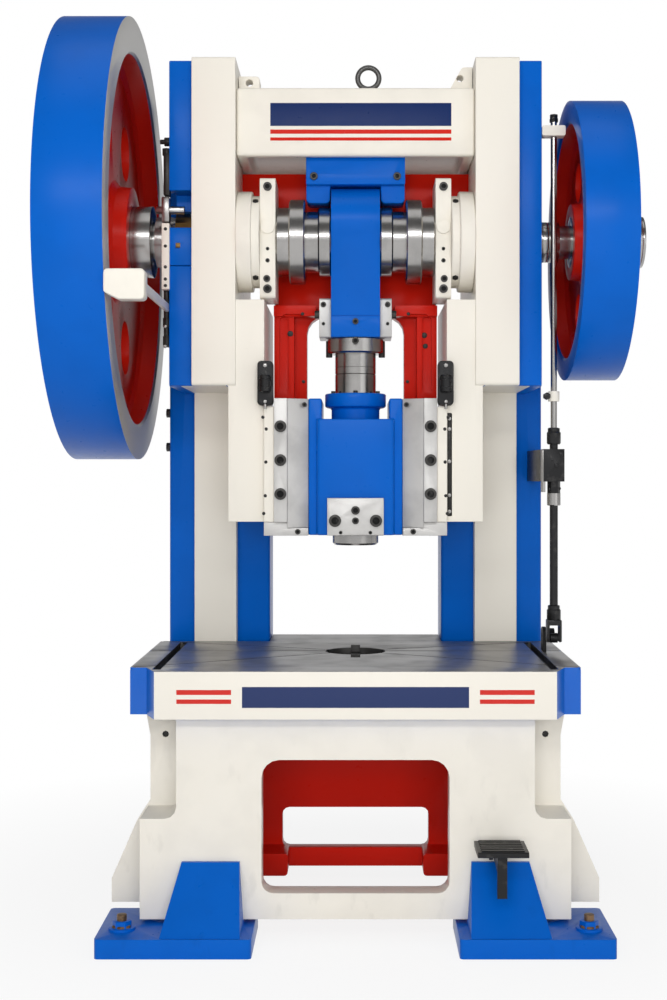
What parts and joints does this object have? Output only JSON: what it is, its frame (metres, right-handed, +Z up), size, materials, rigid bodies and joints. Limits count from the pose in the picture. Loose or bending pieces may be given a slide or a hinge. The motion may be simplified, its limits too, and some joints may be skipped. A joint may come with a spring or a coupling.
{
  "type": "power press",
  "caption": "Straight-sided H-frame crank power press: bed, bolster table, twin columns, flywheel, crank, pitman and ram in gibs, with a foot pedal.",
  "frame": {"origin": "on the floor under the axis of the ram and the crank", "axes": "+Z up, +X to the right of the operator, who stands at -Y; the crankshaft's axis runs along X"},
  "size_m": [1.6, 1.212, 2.439],
  "materials": {
    "foot_front_left": "blue gloss paint on cast iron",
    "foot_front_right": "blue gloss paint on cast iron",
    "foot_rear_left": "blue gloss paint on cast iron",
    "foot_rear_right": "blue gloss paint on cast iron",
    "bed": "cream gloss paint on cast iron",
    "table": "ground or turned steel",
    "column_left": "cream gloss paint on cast iron",
    "column_right": "cream gloss paint on cast iron",
    "bearing_flange_left": "cream gloss paint on cast iron",
    "bearing_flange_right": "cream gloss paint on cast iron",
    "bearing_cap_left": "cream gloss paint on cast iron",
    "bearing_cap_right": "cream gloss paint on cast iron",
    "main_bush_left": "bronze",
    "main_bush_right": "bronze",
    "gib_left": "ground or turned steel",
    "gib_right": "ground or turned steel",
    "gib_strip_left": "ground or turned steel",
    "gib_strip_right": "ground or turned steel",
    "gib_guide_left": "cream gloss paint on cast iron",
    "gib_guide_right": "cream gloss paint on cast iron",
    "gib_shoe_left": "ground or turned steel",
    "gib_shoe_right": "ground or turned steel",
    "oil_box_left": "black oxide or black paint",
    "oil_box_right": "black oxide or black paint",
    "crown_beam": "cream gloss paint on cast iron",
    "crown_bracket": "blue gloss paint on cast iron",
    "slide_casting": "red gloss paint on cast iron",
    "rod_arm": "cream gloss paint on cast iron",
    "rod_block": "black oxide or black paint",
    "rocker_bracket": "black oxide or black paint",
    "brake_shoe": "cream gloss paint on cast iron",
    "pedal_bracket": "black oxide or black paint",
    "eye_bolt": "ground or turned steel",
    "lifting_lug_left": "cream gloss paint on cast iron",
    "lifting_lug_right": "cream gloss paint on cast iron",
    "crankshaft": "ground or turned steel",
    "flywheel_hub": "ground or turned steel",
    "balance_wheel": "blue gloss paint on cast iron",
    "balance_hub": "ground or turned steel",
    "thrust_collar": "ground or turned steel",
    "eccentric_sleeve": "bronze",
    "pitman": "blue gloss paint on cast iron",
    "clamp_plate_left": "ground or turned steel",
    "clamp_plate_right": "ground or turned steel",
    "lock_collar": "ground or turned steel",
    "ram": "blue gloss paint on cast iron",
    "ball_retainer": "blue gloss paint on cast iron",
    "shank_block": "ground or turned steel",
    "tool_disc": "ground or turned steel",
    "adjusting_screw": "ground or turned steel",
    "flywheel": "blue gloss paint on cast iron",
    "operating_rod": "black oxide or black paint",
    "rocker": "black oxide or black paint",
    "pedal": "dark ribbed casting"
  },
  "bodies": {
    "frame": {"foot_front_left": "foot_front_left", "foot_front_right": "foot_front_right", "foot_rear_left": "foot_rear_left", "foot_rear_right": "foot_rear_right", "bed": "bed", "table": "table", "column_left": "column_left", "column_right": "column_right", "bearing_flange_left": "bearing_flange_left", "bearing_flange_right": "bearing_flange_right", "bearing_cap_left": "bearing_cap_left", "bearing_cap_right": "bearing_cap_right", "main_bush_left": "main_bush_left", "main_bush_right": "main_bush_right", "gib_left": "gib_left", "gib_right": "gib_right", "gib_strip_left": "gib_strip_left", "gib_strip_right": "gib_strip_right", "gib_guide_left": "gib_guide_left", "gib_guide_right": "gib_guide_right", "gib_shoe_left": "gib_shoe_left", "gib_shoe_right": "gib_shoe_right", "oil_box_left": "oil_box_left", "oil_box_right": "oil_box_right", "crown_beam": "crown_beam", "crown_bracket": "crown_bracket", "slide_casting": "slide_casting", "rod_arm": "rod_arm", "rod_block": "rod_block", "rocker_bracket": "rocker_bracket", "brake_shoe": "brake_shoe", "pedal_bracket": "pedal_bracket", "eye_bolt": "eye_bolt", "lifting_lug_left": "lifting_lug_left", "lifting_lug_right": "lifting_lug_right"},
    "crank": {"crankshaft": "crankshaft", "flywheel_hub": "flywheel_hub", "balance_wheel": "balance_wheel", "balance_hub": "balance_hub", "thrust_collar": "thrust_collar"},
    "sleeve": {"eccentric_sleeve": "eccentric_sleeve"},
    "pitman": {"pitman": "pitman", "clamp_plate_left": "clamp_plate_left", "clamp_plate_right": "clamp_plate_right", "lock_collar": "lock_collar"},
    "ram": {"ram": "ram", "ball_retainer": "ball_retainer", "shank_block": "shank_block", "tool_disc": "tool_disc"},
    "screw": {"adjusting_screw": "adjusting_screw"},
    "flywheel": {"flywheel": "flywheel"},
    "rod": {"operating_rod": "operating_rod"},
    "rocker": {"rocker": "rocker"},
    "pedal": {"pedal": "pedal"}
  },
  "joints": [
    {"name": "crank_turn", "type": "hinge", "parent": "frame", "child": "crank", "pos_m": [0, 0, 1.833], "axis": [1, 0, 0], "continuous": true},
    {"name": "flywheel_turn", "type": "hinge", "parent": "crank", "child": "flywheel", "pos_m": [-0.693, 0, 1.833], "axis": [1, 0, 0], "continuous": true},
    {"name": "sleeve_turn", "type": "hinge", "parent": "crank", "child": "sleeve", "pos_m": [0, 0, 1.858], "axis": [1, 0, 0], "continuous": true},
    {"name": "pitman_turn", "type": "hinge", "parent": "sleeve", "child": "pitman", "pos_m": [0, 0, 1.883], "axis": [1, 0, 0], "continuous": true},
    {"name": "ram_adjust", "type": "slide", "parent": "pitman", "child": "ram", "axis": [0, 0, 1], "range_m": [-0.02, 0.02]},
    {"name": "screw_turn", "type": "hinge", "parent": "ram", "child": "screw", "pos_m": [0, 0, 1.33], "axis": [0, 0, 1], "range_deg": [-720, 720]},
    {"name": "pedal_press", "type": "hinge", "parent": "frame", "child": "pedal", "pos_m": [0.358, -0.424, 0.236], "axis": [1, 0, 0], "range_deg": [0, 8], "stiffness_Nm_per_rad": 60, "springref_deg": -11.46},
    {"name": "rod_slide", "type": "slide", "parent": "frame", "child": "rod", "axis": [0, 0, 1], "range_m": [-0.01, 0]},
    {"name": "rocker_turn", "type": "hinge", "parent": "frame", "child": "rocker", "pos_m": [0.545, 0, 0.735], "axis": [1, 0, 0], "range_deg": [0, 8]}
  ],
  "couplings": [
    {"joint": "sleeve_turn", "follows": "crank_turn", "ratio": -2},
    {"joint": "pitman_turn", "follows": "crank_turn", "ratio": 1},
    {"joint": "screw_turn", "follows": "ram_adjust", "rad_per_m": 628.32},
    {"joint": "rod_slide", "follows": "pedal_press", "m_per_rad": -0.07},
    {"joint": "rocker_turn", "follows": "pedal_press", "ratio": 0.97}
  ]
}
